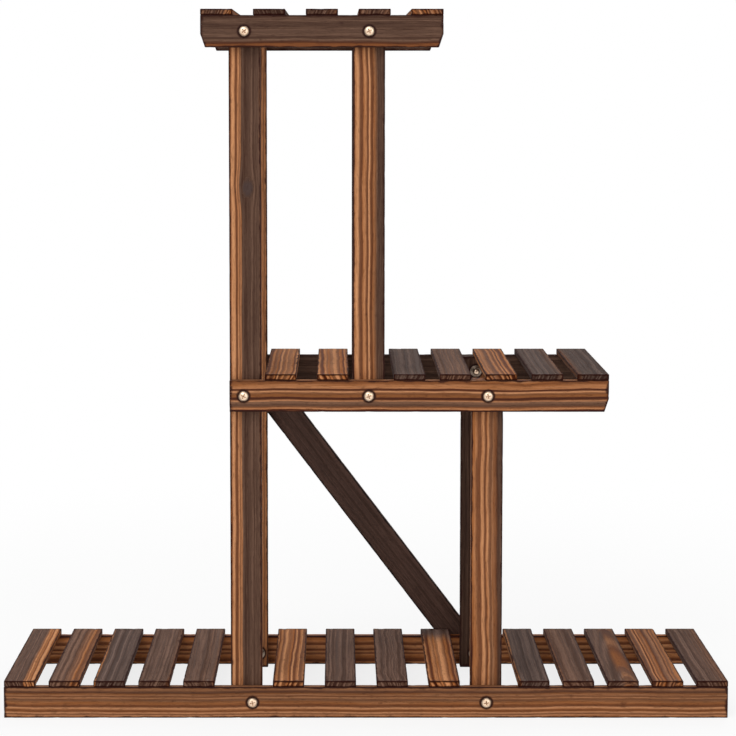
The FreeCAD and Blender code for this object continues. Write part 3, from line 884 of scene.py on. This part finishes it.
@dataclass
class Strip:
    """One strip of timber, as a block with eased arrises and brushed faces.

    Attributes:
        node: The node that it replaces.
        centre: Its middle.
        along: The way of its grain.
        across: The way over its width.
        length: Its length along the grain.
        width: Its width.
        thickness: Its thickness.
        low_end: How far its low end is cut back at each place across.
        high_end: How far its high end is cut back at each place across.
        blend: How far from an end its cut moves the mesh.
        arris: The radius of its eased edges.
        relief: How deep the brush cut the early wood.
        pitch_along: About how far apart its points are along the grain.
        pitch_across: About how far apart they are across it.
        nick: How deep the worn places of an arris are.
        reach: How far from an arris its wear and char reach.
    """

    node: str
    centre: Array
    along: Array
    across: Array
    length: float
    width: float
    thickness: float
    low_end: Inset = square_end
    high_end: Inset = square_end
    blend: float = 30 * MM
    arris: float = 0.9 * MM
    relief: float = 0.2 * MM
    pitch_along: float = 4 * MM
    pitch_across: float = 0.85 * MM
    nick: float = 0.35 * MM
    reach: float = 1.65 * MM

    def block(self) -> tuple[Array, Array, Array, Faces]:
        """The strip in its own directions: along, across and through.

        Each lattice point on the outer block is drawn to the core block, which is smaller by
        the arris's radius, and then put back by that radius along the way it was drawn. So
        faces stay flat, and edges and corners come out round.

        Returns:
            The points, their outward directions, their distance from the nearest arris and
            the faces.
        """
        halves = np.array([self.length, self.width, self.thickness]) / 2
        pitches = (self.pitch_along, self.pitch_across, self.pitch_across)
        sides = [stations(2 * h, p, self.arris) for h, p in zip(halves, pitches)]
        places, faces = shell((len(sides[0]), len(sides[1]), len(sides[2])))
        outer = np.stack([side[places[:, axis]] for axis, side in enumerate(sides)], 1)
        core = np.clip(outer, self.arris - halves, halves - self.arris)
        outward = outer - core
        outward /= np.linalg.norm(outward, axis=1, keepdims=True)
        from_faces = np.sort(halves - np.abs(outer), axis=1)
        return core + self.arris * outward, outward, from_faces[:, 1], faces

    def cut_ends(self, points: Array) -> Array:
        """Moves the points near each end to its cut, less and less further in."""
        moved = points.copy()
        half = self.length / 2
        low = np.clip(1 - (points[:, 0] + half) / self.blend, 0, 1)
        high = np.clip(1 - (half - points[:, 0]) / self.blend, 0, 1)
        moved[:, 0] += low * self.low_end(points[:, 1]) - high * self.high_end(points[:, 1])
        return moved

    def rings(self, points: Array) -> tuple[Array, Array, Array]:
        """Counts the rings at each point.

        The pith is a line beside the strip that leans and wanders. The count is the distance
        from it over the ring's width, with two small sine waves on it, so that rings lie
        wider and closer by turns but never fold back. Round a knot the place is drawn to the
        knot's middle by a bell curve, which parts the rings, and inside it the knot's own
        rings are counted.

        Args:
            points: Points along, across and through the strip.

        Returns:
            The ring count, the place across the strip that the colour bands follow, and the
            mask of knots.
        """
        look = LOOKS[self.node]
        along, across, through = points.T
        drift = look.wander * Waves(look.seed, WANDER_WAVE).at(along)
        ripple = 0.25 * look.wander * Waves(look.seed + 100, RIPPLE_WAVE).at(along + 2 * across)
        sink = look.lean * along + 0.8 * look.wander * Waves(look.seed + 200, SINK_WAVE).at(along)
        pulled = across.copy()
        for knot in look.knots:
            away = np.hypot((along - knot.along) / PULL_STRETCH, across - knot.across)
            pull = PULL_STRENGTH * np.exp(-((away / (PULL_WIDTH * knot.radius)) ** 2))
            pulled -= (across - knot.across) * pull
        bent = pulled + drift + ripple
        count = np.hypot(bent - look.pith_across, through - look.pith_depth - sink) / look.ring
        count += 0.2 * np.sin(count * 1.9 + look.seed) + 0.08 * np.sin(count * 3.7 + 2 * look.seed)
        mask = np.zeros_like(along)
        for knot in look.knots:
            if knot.shows:
                away = np.hypot((along - knot.along) / KNOT_STRETCH, across - knot.across)
                inside = np.clip((knot.radius - away) / (0.25 * knot.radius), 0, 1)
                count = count * (1 - inside) + (away / KNOT_RING + KNOT_COUNT) * inside
                mask = np.maximum(mask, inside)
        return count, bent, mask

    def tones(self, along: Array, bent: Array) -> Array:
        """The burn, redness and lightness at each point, read off the bands across the strip.

        Args:
            along: The points' places along the strip.
            bent: The places across it that the bands follow.

        Returns:
            One row for each point. Near the rear end, where the strip has a painted shadow of
            the brace, it turns to that of charcoal.
        """
        look = LOOKS[self.node]
        share = np.clip(bent / self.width + 0.5, 0, 1)
        places = [at for at, _ in look.bands]
        shades = np.array([shade.value for _, shade in look.bands])
        tone = np.stack([np.interp(share, places, shades[:, part]) for part in range(3)], 1)
        # Painted shadow of the brace: near the rear end the tone turns to charcoal's.
        if look.brace_shadow:
            inward = (self.length / 2 - along) / look.brace_shadow
            burn = np.clip(1.2 - inward, 0, 1)[:, None] ** 1.5
            tone = tone * (1 - burn) + np.array(CHARCOAL.value) * burn
        return tone * np.array([1.0, 1.0, look.light])

    def build(self, material: Material, slot: str) -> None:
        """Makes the strip and dresses it.

        Early wood is brushed back by the relief, and an arris loses a little more where its
        wandering line stands high.

        Args:
            material: Its material.
            slot: The record's material slot; not used.
        """
        seed = LOOKS[self.node].seed
        points, outward, edge, faces = self.block()
        points = self.cut_ends(points)
        count, bent, knots = self.rings(points)
        late = np.exp(-(((count % 1.0 - LATE_WOOD) / LATE_BREADTH) ** 2))
        flat = 1 - np.exp(-((edge / self.reach) ** 2))
        worn = np.clip(Waves(seed + 300, WEAR_WAVE, 5).at(points[:, 0] + points[:, 1]), 0, 1)
        depth = self.relief * (1 - late) * flat + self.nick * worn**3 * (1 - flat)
        sawn = np.clip((np.abs(outward[:, 0]) - 0.75) / 0.2, 0, 1)
        axes = np.stack([self.along, self.across, np.cross(self.along, self.across)])
        brushed = self.centre + (points - outward * depth[:, None]) @ axes
        marks = {
            "rings": count + 7 * (seed % 13),
            "grain": points + np.random.default_rng(seed).uniform(-3, 3, 3),
            "tone": self.tones(points[:, 0], bent),
            "wear": np.stack([1 - flat, sawn, knots], 1),
            "near_bolt": seat_distance(self.centre + points @ axes),
        }
        stand_in(self.node, "fir", brushed, faces, marks, material)


def node_box(node: str) -> tuple[Array, Array]:
    """The low and high corners of a node, as arrays."""
    low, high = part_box(node)
    return np.array(low), np.array(high)


def straight_strip(node: str, along: Array, across: Array) -> Strip:
    """A strip that fills the box of its node.

    Args:
        node: The node.
        along: The way of the grain.
        across: The way over the width.

    Returns:
        The strip.
    """
    low, high = node_box(node)
    sides = [float(np.abs(way) @ (high - low)) for way in (along, across, np.cross(along, across))]
    return Strip(node, (low + high) / 2, along, across, *sides)


@dataclass
class Shelf:
    """One shelf: its slats, from front to rear, and the two rails under them.

    Attributes:
        name: The shelf's name in the frame.
        bevelled: The rail ends whose lower corners are bevelled.
        bevel_length: How far a bevel goes along the rail.
        bevel_height: How far it goes up the rail's end.
    """

    name: str
    bevelled: tuple[str, ...] = ()
    bevel_length: float = 5 * MM
    bevel_height: float = 15 * MM

    def slat_nodes(self) -> list[str]:
        """The names of this shelf's slats, from the left."""
        return sorted(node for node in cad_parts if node.startswith(self.name + "_slat_"))

    def bevel(self, width: float) -> Inset:
        """The cut of a bevelled end: straight, from nothing at the bevel's top to its full length."""

        def inset(across: Array) -> Array:
            """How far the end is cut back, in proportion to the depth below the bevel's top."""
            below = self.bevel_height - (across + width / 2)
            return self.bevel_length * np.clip(below / self.bevel_height, 0, 1)

        return inset

    def build(self, slat_finish: Material, rail_finish: Material) -> None:
        """Makes the slats and both rails.

        Args:
            slat_finish: The slats' material.
            rail_finish: The rails' material.
        """
        for node in self.slat_nodes():
            straight_strip(node, Y, X).build(slat_finish, "slat_wood")
        for side in FRAMES:
            rail = straight_strip(f"{self.name}_rail_{side}", X, Z)
            if "left" in self.bevelled:
                rail.low_end = self.bevel(rail.width)
            if "right" in self.bevelled:
                rail.high_end = self.bevel(rail.width)
            rail.build(rail_finish, "rail_wood")


@dataclass
class Legs:
    """The three legs of each frame.

    Attributes:
        names: The legs' names in the frame, from the left.
    """

    names: tuple[str, ...] = LEG_NAMES

    def build(self, finish: Material) -> None:
        """Makes every leg."""
        for side in FRAMES:
            for name in self.names:
                straight_strip(f"{name}_leg_{side}", Z, X).build(finish, "leg_wood")


@dataclass
class RearBrace:
    """The diagonal behind the rear rails, trimmed to the frame's edges.

    Attributes:
        width: Its width, like every strip's.
        hole_shift: How far its centreline misses the lower bolt.
        reach_past: How far the untrimmed strip runs past each bolt.
    """

    width: float = 36 * MM
    hole_shift: float = 7 * MM
    reach_past: float = 60 * MM

    def build(self, finish: Material) -> None:
        """Makes the brace.

        Its centreline runs down from the upper bolt and turns aside by the angle whose sine
        is the hole's shift over the bolts' distance. At each place across, its ends lie where
        a line along the grain leaves the window that the trimming cuts.

        Args:
            finish: Its material.
        """
        low, high = node_box("rear_brace")
        bolt_low, bolt_high = node_box("brace_bolts")
        upper = np.array([bolt_low[0] + Bolts.head, 0.0, bolt_high[2] - Bolts.head])
        lower = np.array([bolt_high[0] - Bolts.head, 0.0, bolt_low[2] + Bolts.head])
        span = float(np.linalg.norm(lower - upper))
        tilt = math.atan2(upper[2] - lower[2], lower[0] - upper[0]) + math.asin(self.hole_shift / span)
        along = np.array([math.cos(tilt), 0.0, -math.sin(tilt)])
        across = np.array([math.sin(tilt), 0.0, math.cos(tilt)])
        length = span + 2 * self.reach_past
        centre = upper + along * span / 2
        centre[1] = (low[1] + high[1]) / 2

        def crossing(across_place: Array, first: bool) -> Array:
            """Where a line along the grain enters or leaves the window, from the middle."""
            x = centre[0] + across_place * across[0]
            z = centre[2] + across_place * across[2]
            if first:
                return np.maximum((low[0] - x) / along[0], (high[2] - z) / along[2])
            return np.minimum((high[0] - x) / along[0], (low[2] - z) / along[2])

        Strip(
            "rear_brace", centre, along, across, length, self.width, float(high[1] - low[1]),
            low_end=lambda place: crossing(place, True) + length / 2,
            high_end=lambda place: length / 2 - crossing(place, False),
            blend=length / 2,
        ).build(finish, "brace_wood")


# ---------------------------------------------------------------------- hardware
@dataclass
class Fastener:
    """A kind of steel fastener, made about +Z and laid along Y at each of its seats.

    Attributes:
        slot: The record's material slot.
        seed: Picks how far each one is turned.
        most_turn: The most that one is turned.
        rise: How far it stands out before its seat.
        turns: How many angles go round it.
    """

    slot: str
    seed: int
    most_turn: float
    rise: float
    turns: int = 72

    def body(self, length: float) -> Body:
        """One of them about +Z: the points, the faces and how dirty each point is."""
        raise NotImplementedError

    def angles(self) -> Array:
        """Evenly spread angles round +Z, as a column."""
        return 2 * math.pi * np.arange(self.turns)[:, None] / self.turns

    def lathe(self, stretches: list[tuple], closed: bool) -> Body:
        """A skin of revolution about +Z.

        Point (i, j) lies at angle 2 pi i / turns, and its radius and height come from row i,
        column j of the stretches laid side by side. An open profile is capped: rungs of a
        ladder across its first and last rings close both poles.

        Args:
            stretches: The radius, height and dirt of each part of the profile. Each is a grid
                of angles and steps, a row of steps or one number.
            closed: True where the profile's last step joins its first.

        Returns:
            The points, the faces and how dirty each point is.
        """
        angle = self.angles()
        spans = [np.broadcast_arrays(np.ones_like(angle), *stretch)[1:] for stretch in stretches]
        radius, height, dirt = (np.hstack(parts) for parts in zip(*spans))
        points = np.stack([radius * np.cos(angle), radius * np.sin(angle), height], -1).reshape(-1, 3)
        turns, steps = radius.shape
        last = steps if closed else steps - 1
        i, j = np.meshgrid(np.arange(turns), np.arange(last), indexing="ij")
        after, beside = (i + 1) % turns, (j + 1) % steps
        corners = (i * steps + j, after * steps + j, after * steps + beside, i * steps + beside)
        faces = np.stack(corners, -1).reshape(-1, 4)
        if not closed:
            rung = np.arange(turns // 2 - 1)
            cap = np.stack([rung, rung + 1, turns - 2 - rung, turns - 1 - rung], 1) * steps
            faces = np.concatenate([faces, cap[:, ::-1], cap + steps - 1])
        return points, faces, dirt.ravel()

    def build(self, node: str, inward: float, finish: Material) -> None:
        """Makes all those of one node as one piece, each turned as it was driven.

        A body is turned by its angle about +Z, and then +Z is laid along the way in.

        Args:
            node: The node.
            inward: 1 for the front frame and -1 for the rear one.
            finish: Their material.
        """
        bodies, total = [], 0
        spins = np.random.default_rng(self.seed).uniform(0, self.most_turn, 32)
        for spin, (seat, length) in zip(spins, seats(node, inward, self.rise)):
            points, faces, dirt = self.body(length)
            c, s = math.cos(spin), math.sin(spin)
            lay = np.array([[-c * inward, 0.0, s], [s * inward, 0.0, c], [0.0, inward, 0.0]])
            bodies.append((seat + points @ lay, faces + total, dirt))
            total += len(points)
        points, faces, dirt = (np.concatenate(parts) for parts in zip(*bodies))
        stand_in(node, "steel", points, faces, {"dirt": dirt}, finish)


@dataclass
class Bolts(Fastener):
    """Pan head bolts with a cross recess and a rolled thread.

    Attributes:
        shank: The shank's radius.
        head: The head's radius.
        rim: The height of the head's straight rim.
        ease: How far the crown stops short of the rim, which rounds the edge.
        pole: The radius of the small rings that are capped.
        pitch: The thread's pitch.
        thread_depth: How deep the thread is cut.
        threaded: How much of the shank's end is threaded.
        recess_half: Half the span of the cross.
        recess_width: Half the width of the cross's bars.
        recess_depth: How deep the cross is.
        recess_slope: How broad the slope of its walls is.
        crown_steps: How many steps the crown has.
    """

    slot: str = "bolt_steel"
    seed: int = 9
    most_turn: float = math.pi / 2
    rise: float = 3.5 * MM
    shank: float = 3.0 * MM
    head: float = 6.0 * MM
    rim: float = 1.0 * MM
    ease: float = 0.25 * MM
    pole: float = 0.02 * MM
    pitch: float = 1.0 * MM
    thread_depth: float = 0.45 * MM
    threaded: float = 13 * MM
    recess_half: float = 3.0 * MM
    recess_width: float = 0.6 * MM
    recess_depth: float = 1.8 * MM
    recess_slope: float = 0.4 * MM
    crown_steps: int = 26

    def body(self, length: float) -> Body:
        """One bolt about +Z, with Z = 0 under its head.

        The crown is a cap of a ball, and the cross sinks into it by the distance inside its
        two bars. The thread's radius is a triangle wave of height over pitch less the share
        of a turn, so that it climbs once in each turn. The dirt mark is raised in the cross,
        in the thread and round the head, where it is soot with painted shade, the dark that
        the dome's edge reflects.

        Args:
            length: The length under the head.

        Returns:
            The points, the faces and how dirty each point is, which round the head means soot
            with painted shade.
        """
        angle = self.angles()
        crown_rise = self.rise - self.rim
        ball = (self.head**2 + crown_rise**2) / (2 * crown_rise)
        out = np.linspace(0.0, 1.0, self.crown_steps)[None, :] ** 0.8 * (self.head - self.ease)
        out = np.maximum(out, self.pole)
        x, y = np.abs(out * np.cos(angle)), np.abs(out * np.sin(angle))
        bars = np.minimum(
            np.maximum(x - self.recess_half, y - self.recess_width),
            np.maximum(y - self.recess_half, x - self.recess_width),
        )
        sunk = self.recess_depth * np.clip(-bars / self.recess_slope, 0, 1)
        crown = sunk - (self.rim + np.sqrt(ball**2 - out**2) - (ball - crown_rise))
        # Darker in the cross, and on the head's outer band soot with painted shade, the dark that the
        # dome's edge reflects.
        recess_dark = 0.3 * np.clip(-bars / (0.3 * MM), 0, 1)
        crown_soot_and_shade = np.maximum(recess_dark, 0.9 * np.clip((out / self.head - 0.6) / 0.34, 0, 1))
        rim_radius = self.head - np.array([0.07, 0.0, 0.0, 0.15]) * MM
        rim_height = -np.array([self.rim + 0.02 * MM, self.rim - 0.15 * MM, 0.15 * MM, 0.0])
        shank_radius = self.shank + np.array([0.2, 0.0, 0.0]) * MM

        start = length - self.threaded
        rows = np.arange(start, length - 0.5 * self.pitch, self.pitch / 6)
        phase = (rows / self.pitch - angle / (2 * math.pi)) % 1.0
        cut = np.abs(2 * phase - 1) * np.clip((rows - start) / self.pitch, 0, 1)
        tip_radius = np.array([self.shank - 0.6 * MM, self.shank - 0.8 * MM, self.pole])
        stretches = [
            (out, crown, crown_soot_and_shade),
            # The rim carries the same soot with painted shade.
            (rim_radius, rim_height, np.array([0.95, 1.0, 1.0, 1.0])),
            (shank_radius, np.array([0.0, 0.2 * MM, start - 0.3 * MM]), 0.0),
            (self.shank - self.thread_depth * cut, rows, 0.8 * cut),
            (tip_radius, length - np.array([0.3, 0.0, 0.0]) * MM, 0.0),
        ]
        return self.lathe(stretches, closed=False)


@dataclass
class Nuts(Fastener):
    """Hexagon flange nuts.

    Attributes:
        bore: The bore's radius.
        half_flats: Half the distance across the flats.
        flange: The flange's radius.
        flange_rim: The height of the flange's straight rim.
        flange_slope: The slope of the flange's top, as a tangent.
        crown_slope: The slope of the turned-off corners, as a tangent.
    """

    slot: str = "nut_steel"
    seed: int = 5
    most_turn: float = math.pi / 3
    rise: float = 0.0
    bore: float = 3.1 * MM
    half_flats: float = 5.0 * MM
    flange: float = 7.1 * MM
    flange_rim: float = 1.1 * MM
    flange_slope: float = math.tan(math.radians(20))
    crown_slope: float = math.tan(math.radians(30))

    def body(self, length: float) -> Body:
        """One nut about +Z, with its flange at Z = 0.

        The side's radius is the hexagon's, half its flats over the cosine of the angle from
        the nearest flat, held in by the crown's cone at the top and held out by the flange.

        Args:
            length: The nut's height.

        Returns:
            The points, the faces and how dirty each point is.
        """
        sixth = math.pi / 3
        hexagon = self.half_flats / np.cos((self.angles() + sixth / 2) % sixth - sixth / 2)
        corner = self.half_flats / math.cos(sixth / 2)
        cone_top = self.flange_rim + (self.flange - self.half_flats) * self.flange_slope
        crown_foot = length - (corner - self.half_flats) * self.crown_slope
        steps = np.concatenate(
            [
                self.flange_rim + (cone_top - self.flange_rim) * np.array([0.0, 0.15, 0.5, 0.85, 1.0]),
                np.linspace(cone_top + 0.3 * MM, crown_foot, 5),
                crown_foot + (length - crown_foot) * np.array([0.25, 0.5, 0.75, 1.0]),
            ]
        )
        cone = self.flange - (steps - self.flange_rim) / self.flange_slope
        crown = np.minimum(corner - (steps - crown_foot) / self.crown_slope, corner)
        side = np.maximum(np.minimum(hexagon, crown), cone)
        under = np.array([self.bore + 0.3 * MM, self.flange - 0.15 * MM, self.flange])
        mouth = self.bore + np.array([0.5, 0.0, 0.0]) * MM
        mouth_height = np.array([length, length - 0.5 * MM, 0.3 * MM])
        stretches = [
            (under, np.array([0.0, 0.0, 0.15 * MM]), 0.9),
            (side, steps, 0.8 * np.clip(1 - steps / cone_top, 0, 1)),
            (mouth, mouth_height, np.array([0.4, 1.0, 1.0])),
        ]
        return self.lathe(stretches, closed=True)


@dataclass
class Brads:
    """The brads through the slats' ends, which keep the frame's own shape.

    Attributes:
        shelves: The shelves that they hold.
    """

    shelves: tuple[str, ...] = SHELF_NAMES

    def build(self, finish: Material) -> None:
        """Gives every shelf's brads their finish."""
        for name in self.shelves:
            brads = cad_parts[name + "_brads"]
            brads.data.materials.clear()
            brads.data.materials.append(finish)
            LOG.info("%s: kept and dressed", brads.name)


# ---------------------------------------------------------------------- the studio
def seen_rays(w: Wiring) -> Socket:
    """1 for rays from the camera, gloss and glass, and 0 for light that falls on the stand."""
    rays = w.node("ShaderNodeLightPath")
    seen = w.math("MAXIMUM", rays.outputs["Is Camera Ray"], rays.outputs["Is Glossy Ray"])
    return w.math("MAXIMUM", seen, rays.outputs["Is Transmission Ray"])


@dataclass
class Studio:
    """A pale floor, soft light all round and the camera.

    Attributes:
        floor_steps: How far from the middle the floor's lines lie, out to its edge.
        floor_near: Where the floor starts to turn to plain white.
        floor_far: Where it is plain white.
        floor_white: How white it looks near the stand, where the rest is its shadow.
        sky: How strongly the sky lights the stand.
        aim: Where the lamps point.
        camera_place: Where the camera stands.
        pitch_down: How far it looks down, in degrees.
        lens: Its focal length in millimetres.
        shift_x: Its sideways shift.
        shift_y: Its upward shift.
    """

    floor_steps: tuple[float, ...] = (1.2, 4.0, 30.0)
    floor_near: float = 0.55
    floor_far: float = 1.5
    floor_white: float = 0.8
    sky: float = 0.5
    aim: tuple[float, float, float] = (0.0, 0.0, 0.4)
    camera_place: tuple[float, float, float] = (-0.0326, -2.6459, 0.7224)
    pitch_down: float = 4.95
    lens: float = 109.57
    shift_x: float = 0.0415
    shift_y: float = -0.12

    def add_floor(self) -> None:
        """Lays the floor: matte and pale near the stand, and plain white further out.

        The white takes over with the distance from the origin, for camera rays and for what
        steel and gloss reflect, so the floor has no visible end.
        """
        edge = np.array([*(-step for step in reversed(self.floor_steps)), *self.floor_steps])
        x, y = np.meshgrid(edge, edge, indexing="ij")
        points = np.stack([x, y, np.zeros_like(x)], -1).reshape(-1, 3)
        i, j = np.meshgrid(np.arange(len(edge) - 1), np.arange(len(edge) - 1), indexing="ij")
        first = i * len(edge) + j
        faces = np.stack([first, first + len(edge), first + len(edge) + 1, first + 1], -1)
        floor = make_piece("floor", points, faces.reshape(-1, 4), smooth=False)
        material = bpy.data.materials.new("floor")
        material.use_nodes = True
        w = Wiring(material.node_tree)
        w.tree.nodes.clear()
        distance = w.node("ShaderNodeVectorMath", operation="LENGTH")
        w.feed(distance.inputs[0], w.node("ShaderNodeTexCoord").outputs["Object"])
        far = w.step(distance.outputs["Value"], self.floor_near, self.floor_far)
        white = w.math("MULTIPLY_ADD", far, 1 - self.floor_white, self.floor_white)
        matte = w.fed("ShaderNodeBsdfDiffuse", {"Color": (0.86, 0.86, 0.86, 1.0)})
        plain = w.node("ShaderNodeEmission")
        both = w.node("ShaderNodeMixShader")
        shown = (w.math("MULTIPLY", white, seen_rays(w)), matte.outputs[0], plain.outputs[0])
        for socket, value in zip(both.inputs, shown):
            w.feed(socket, value)
        w.fed("ShaderNodeOutputMaterial", {"Surface": both.outputs[0]})
        floor.data.materials.append(material)

    def add_world(self) -> None:
        """Lights the stand evenly from the sky, which is plain white where it is seen."""
        world = bpy.data.worlds.new("studio")
        bpy.context.scene.world = world
        world.use_nodes = True
        w = Wiring(world.node_tree)
        background = w.tree.nodes["Background"]
        background.inputs["Color"].default_value = (1.0, 1.0, 1.0, 1.0)
        strength = w.math("MULTIPLY_ADD", seen_rays(w), 1 - self.sky, self.sky)
        w.feed(background.inputs["Strength"], strength)

    def add_lamp(
        self, name: str, place: tuple[float, float, float], side: float, watts: float, glints: bool = True
    ) -> None:
        """Adds a square soft lamp that faces the stand.

        Args:
            name: Its name.
            place: Where it hangs.
            side: The length of its side.
            watts: Its power.
            glints: True where it shows in gloss and steel.
        """
        data = bpy.data.lights.new(name, "AREA")
        data.size, data.energy = side, watts
        lamp = bpy.data.objects.new(name, data)
        lamp.location = place
        lamp.visible_glossy = glints
        aim = Vector(self.aim) - Vector(place)
        lamp.rotation_euler = aim.to_track_quat("-Z", "Y").to_euler()
        bpy.context.scene.collection.objects.link(lamp)

    def add_camera(self) -> None:
        """Sets the camera a little below the top shelf, looking down a few degrees."""
        data = bpy.data.cameras.new("camera")
        data.lens, data.shift_x, data.shift_y = self.lens, self.shift_x, self.shift_y
        camera = bpy.data.objects.new("camera", data)
        camera.location = self.camera_place
        camera.rotation_euler = (math.radians(90 - self.pitch_down), 0.0, 0.0)
        bpy.context.scene.collection.objects.link(camera)
        bpy.context.scene.camera = camera

    def build(self) -> None:
        """Sets up the whole studio."""
        self.add_floor()
        self.add_world()
        self.add_lamp("key", (-1.3, -2.4, 3.3), 2.0, 52.0)
        self.add_lamp("front", (-0.3, -3.2, 0.9), 1.6, 12.0, glints=False)
        self.add_lamp("fill", (2.2, -2.0, 1.6), 2.0, 14.0)
        self.add_lamp("back", (0.8, 2.6, 2.2), 2.0, 25.0, glints=False)
        self.add_lamp("top", (0.0, -0.2, 4.2), 3.0, 32.0, glints=False)
        self.add_camera()
        bpy.context.scene.view_settings.view_transform = "Standard"


def main() -> None:
    """Builds the stand piece by piece, then the studio."""
    logging.basicConfig(level=logging.INFO, format="%(name)s %(message)s")
    grain, plating = build_grain_group(), build_plating_group()
    slats = TimberFinish(
        "slat_wood", burnt_light=display(122, 94, 80), burnt_dark=display(74, 52, 42), gloss=0.05
    ).build(grain)
    rails = TimberFinish("rail_wood", light=display(181, 125, 85), line_strength=0.95).build(grain)
    legs = TimberFinish("leg_wood").build(grain)
    # The brace's burnt colours are set lighter than the other timber's, painted light for a brace that
    # stands in shade.
    brace = TimberFinish(
        "brace_wood", burnt_light=display(114, 86, 76), burnt_dark=display(84, 60, 50),
        char=display(22, 6, 4), line_strength=0.6, edge_char=1.0,
    ).build(grain)
    bolt_steel = SteelFinish("bolt_steel", display(248, 220, 192), display(214, 178, 146), 0.25)
    nut_steel = SteelFinish("nut_steel", display(150, 134, 120), display(92, 76, 64), 0.26)
    brad_steel = SteelFinish("brad_steel", display(122, 104, 92), display(84, 66, 56), 0.42)
    for shelf in (Shelf("base"), Shelf("mid", ("right",)), Shelf("top", ("left", "right"))):
        shelf.build(slats, rails)
    Legs().build(legs)
    RearBrace().build(brace)
    bolt_finish, nut_finish = bolt_steel.build(plating), nut_steel.build(plating)
    for node, inward in BOLT_NODES:
        Bolts().build(node, inward, bolt_finish)
    for node, inward in NUT_NODES:
        Nuts().build(node, inward, nut_finish)
    Brads().build(brad_steel.build(plating))
    Studio().build()


if __name__ == "__main__":
    main()
